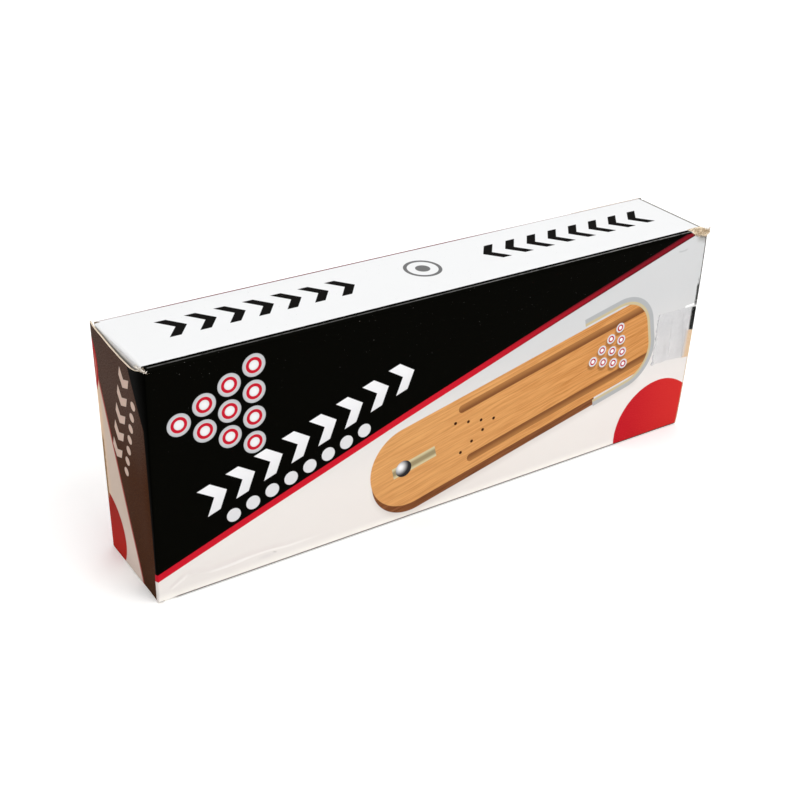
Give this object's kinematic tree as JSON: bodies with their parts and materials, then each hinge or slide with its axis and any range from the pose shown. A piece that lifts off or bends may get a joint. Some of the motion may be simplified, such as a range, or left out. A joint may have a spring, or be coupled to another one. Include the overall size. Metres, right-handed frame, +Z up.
{
  "type": "boxed table bowling game",
  "caption": "Tabletop wooden bowling game with lane, pins, ball, swivelling launch ramp and bent pin wall, packed on its side in a printed tuck-end carton that opens and slides off.",
  "frame": {"origin": "centre of the carton's base, on the surface it stands on", "axes": "+X along the carton towards its open end, the front panel faces -Y, +Z up"},
  "size_m": [0.3, 0.0501, 0.111],
  "materials": {
    "printed_board": "laminated print, black and white with a red stripe",
    "raw_board": "uncoated recycled board",
    "clear_tape": "clear packing tape, torn",
    "lane_wood": "satin lacquer over light orange-brown wood, darker sides",
    "wall_board": "thin bent board, cream inside, grey-white outside",
    "ramp_wood": "bare pale wood",
    "screw_steel": "zinc-plated",
    "ball_chrome": "polished",
    "pin_lacquer": "white gloss lacquer with a red neck band"
  },
  "bodies": {
    "game": {"lane_board": "lane_wood", "pin_wall": "wall_board", "wall_screws": "screw_steel", "ramp_pivot_pin": "screw_steel"},
    "carton": {"front_panel": "printed_board", "top_panel": "printed_board", "back_panel": "printed_board", "bottom_panel": "printed_board", "seam_flap": "raw_board", "left_dust_flap_top": "raw_board", "left_dust_flap_bottom": "raw_board", "sealing_tape": "clear_tape"},
    "left_end": {"left_end_flap": "printed_board"},
    "left_tuck": {"left_tuck_flap": "raw_board"},
    "right_end": {"right_end_flap": "printed_board"},
    "right_tuck": {"right_tuck_flap": "raw_board"},
    "right_top_dust": {"right_dust_flap_top": "raw_board"},
    "right_bottom_dust": {"right_dust_flap_bottom": "raw_board"},
    "ramp": {"launch_ramp": "ramp_wood"},
    "loose_ball": {"ball": "ball_chrome"},
    "loose_pin_1": {"pin_1": "pin_lacquer"},
    "loose_pin_2": {"pin_2": "pin_lacquer"},
    "loose_pin_3": {"pin_3": "pin_lacquer"},
    "loose_pin_4": {"pin_4": "pin_lacquer"},
    "loose_pin_5": {"pin_5": "pin_lacquer"},
    "loose_pin_6": {"pin_6": "pin_lacquer"},
    "loose_pin_7": {"pin_7": "pin_lacquer"},
    "loose_pin_8": {"pin_8": "pin_lacquer"},
    "loose_pin_9": {"pin_9": "pin_lacquer"},
    "loose_pin_10": {"pin_10": "pin_lacquer"}
  },
  "joints": [
    {"name": "carton_off", "type": "slide", "parent": "game", "child": "carton", "axis": [-1, 0, 0], "range_m": [0, 0.3]},
    {"name": "left_end_flap_hinge", "type": "hinge", "parent": "carton", "child": "left_end", "pos_m": [-0.15, -0.0245, 0.0555], "axis": [0, 0, 1], "range_deg": [0, 150]},
    {"name": "left_tuck_flap_hinge", "type": "hinge", "parent": "left_end", "child": "left_tuck", "pos_m": [-0.15, 0.0228, 0.0555], "axis": [0, 0, 1], "range_deg": [-37.5, 0]},
    {"name": "right_end_flap_hinge", "type": "hinge", "parent": "carton", "child": "right_end", "pos_m": [0.15, 0.0248, 0.0555], "axis": [0, 0, 1], "range_deg": [-270, 0]},
    {"name": "right_tuck_flap_hinge", "type": "hinge", "parent": "right_end", "child": "right_tuck", "pos_m": [0.1024, 0.0248, 0.0555], "axis": [0, 0, 1], "range_deg": [-90, 0]},
    {"name": "right_top_dust_flap_hinge", "type": "hinge", "parent": "carton", "child": "right_top_dust", "pos_m": [0.14815, 0, 0.11015], "axis": [0, -1, 0], "range_deg": [0, 175]},
    {"name": "right_bottom_dust_flap_hinge", "type": "hinge", "parent": "carton", "child": "right_bottom_dust", "pos_m": [0.14815, 0, 0.00085], "axis": [0, 1, 0], "range_deg": [0, 175]},
    {"name": "ramp_swivel", "type": "hinge", "parent": "game", "child": "ramp", "pos_m": [-0.127, 0.0089, 0.0554], "axis": [0, -1, 0], "range_deg": [-16, 16]},
    {"name": "ball_roll", "type": "slide", "parent": "game", "child": "loose_ball", "axis": [1, 0, 0], "range_m": [0, 0.05]},
    {"name": "pin_1_slide", "type": "slide", "parent": "game", "child": "loose_pin_1", "axis": [1, 0, 0], "range_m": [-0.045, 0]},
    {"name": "pin_2_slide", "type": "slide", "parent": "game", "child": "loose_pin_2", "axis": [1, 0, 0], "range_m": [-0.045, 0]},
    {"name": "pin_3_slide", "type": "slide", "parent": "game", "child": "loose_pin_3", "axis": [1, 0, 0], "range_m": [-0.045, 0]},
    {"name": "pin_4_slide", "type": "slide", "parent": "game", "child": "loose_pin_4", "axis": [1, 0, 0], "range_m": [-0.045, 0]},
    {"name": "pin_5_slide", "type": "slide", "parent": "game", "child": "loose_pin_5", "axis": [1, 0, 0], "range_m": [-0.045, 0]},
    {"name": "pin_6_slide", "type": "slide", "parent": "game", "child": "loose_pin_6", "axis": [1, 0, 0], "range_m": [-0.045, 0]},
    {"name": "pin_7_slide", "type": "slide", "parent": "game", "child": "loose_pin_7", "axis": [1, 0, 0], "range_m": [-0.045, 0]},
    {"name": "pin_8_slide", "type": "slide", "parent": "game", "child": "loose_pin_8", "axis": [1, 0, 0], "range_m": [-0.045, 0]},
    {"name": "pin_9_slide", "type": "slide", "parent": "game", "child": "loose_pin_9", "axis": [1, 0, 0], "range_m": [-0.045, 0]},
    {"name": "pin_10_slide", "type": "slide", "parent": "game", "child": "loose_pin_10", "axis": [1, 0, 0], "range_m": [-0.045, 0]}
  ],
  "couplings": [
    {"joint": "left_tuck_flap_hinge", "follows": "left_end_flap_hinge", "ratio": -0.25},
    {"joint": "pin_2_slide", "follows": "pin_1_slide", "ratio": 1},
    {"joint": "pin_3_slide", "follows": "pin_1_slide", "ratio": 1},
    {"joint": "pin_4_slide", "follows": "pin_1_slide", "ratio": 1},
    {"joint": "pin_5_slide", "follows": "pin_1_slide", "ratio": 1},
    {"joint": "pin_6_slide", "follows": "pin_1_slide", "ratio": 1},
    {"joint": "pin_7_slide", "follows": "pin_1_slide", "ratio": 1},
    {"joint": "pin_8_slide", "follows": "pin_1_slide", "ratio": 1},
    {"joint": "pin_9_slide", "follows": "pin_1_slide", "ratio": 1},
    {"joint": "pin_10_slide", "follows": "pin_1_slide", "ratio": 1}
  ]
}
